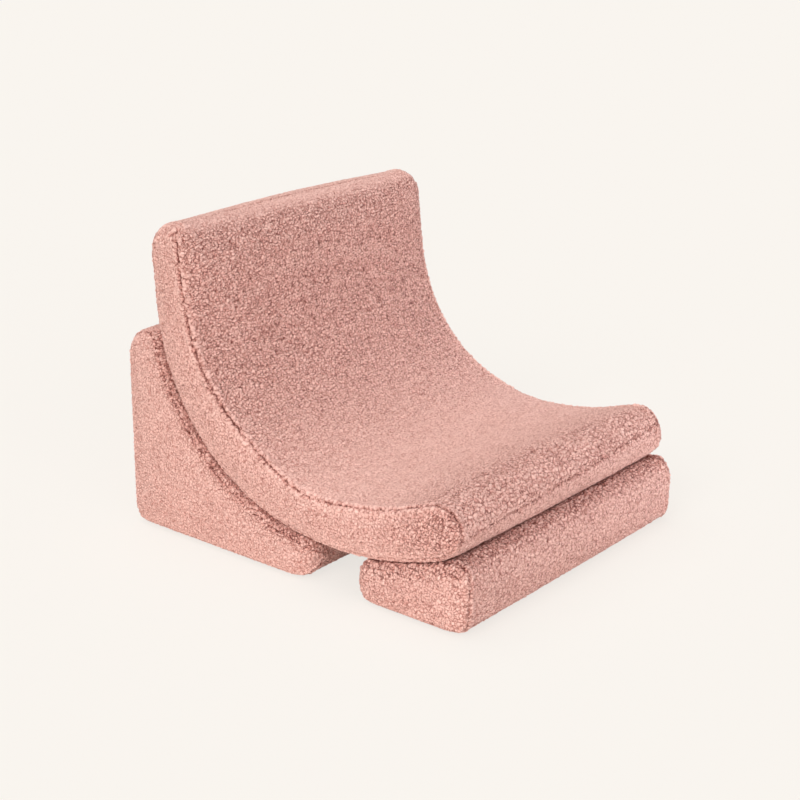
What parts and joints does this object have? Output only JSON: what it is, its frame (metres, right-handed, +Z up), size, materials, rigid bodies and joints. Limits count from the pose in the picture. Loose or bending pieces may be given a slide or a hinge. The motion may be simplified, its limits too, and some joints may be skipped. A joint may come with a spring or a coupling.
{
  "type": "kids floor armchair",
  "caption": "Low floor armchair for a small child: a curved foam seat shell leaning in a hollow rear wedge, with its nose on a front block, all in fleece covers.",
  "frame": {"origin": "on the floor, under the middle of the chair's overall width and depth", "axes": "+X to the sitting child's left, -Y the way the child faces, +Z up"},
  "size_m": [0.5, 0.592, 0.4452],
  "materials": {
    "fleece": "deep curly pile, matte",
    "foam": "open-cell foam, matte",
    "base_cloth": "woven cloth with small gripping dots",
    "zip_cloth": "woven tape",
    "zip_coil": "satin nylon coil",
    "slider_lacquer": "satin lacquer",
    "hook_tape": "nylon hooks",
    "loop_tape": "brushed loops"
  },
  "bodies": {
    "rear_wedge": {"rear_wedge_foam": "foam", "rear_wedge_cover": "fleece", "rear_wedge_base_panel": "base_cloth", "rear_wedge_zip_tape_rear": "zip_cloth", "rear_wedge_zip_tape_front": "zip_cloth", "rear_wedge_zip_coil": "zip_coil", "rear_wedge_hook_strip_left": "hook_tape", "rear_wedge_hook_strip_right": "hook_tape"},
    "rear_wedge_slider": {"rear_wedge_zip_slider": "slider_lacquer"},
    "seat_shell": {"seat_shell_foam": "foam", "seat_shell_cover": "fleece", "seat_shell_zip_tape_rear": "zip_cloth", "seat_shell_zip_tape_front": "zip_cloth", "seat_shell_zip_coil": "zip_coil", "seat_shell_loop_strip_rear_left": "loop_tape", "seat_shell_loop_strip_rear_right": "loop_tape", "seat_shell_loop_strip_front_left": "loop_tape", "seat_shell_loop_strip_front_right": "loop_tape"},
    "seat_shell_slider": {"seat_shell_zip_slider": "slider_lacquer"},
    "front_block": {"front_block_foam": "foam", "front_block_cover": "fleece", "front_block_base_panel": "base_cloth", "front_block_zip_tape_rear": "zip_cloth", "front_block_zip_tape_front": "zip_cloth", "front_block_zip_coil": "zip_coil", "front_block_hook_strip_left": "hook_tape", "front_block_hook_strip_right": "hook_tape"},
    "front_block_slider": {"front_block_zip_slider": "slider_lacquer"}
  },
  "joints": [
    {"name": "seat_shell_lift", "type": "slide", "parent": "rear_wedge", "child": "seat_shell", "axis": [0, 0, 1], "range_m": [0, 0.25]},
    {"name": "front_block_pull", "type": "slide", "parent": "rear_wedge", "child": "front_block", "axis": [0, -1, 0], "range_m": [0, 0.18]},
    {"name": "rear_wedge_zip", "type": "slide", "parent": "rear_wedge", "child": "rear_wedge_slider", "axis": [-1, 0, 0], "range_m": [0, 0.361]},
    {"name": "seat_shell_zip", "type": "slide", "parent": "seat_shell", "child": "seat_shell_slider", "axis": [-1, 0, 0], "range_m": [0, 0.361]},
    {"name": "front_block_zip", "type": "slide", "parent": "front_block", "child": "front_block_slider", "axis": [-1, 0, 0], "range_m": [0, 0.361]}
  ]
}
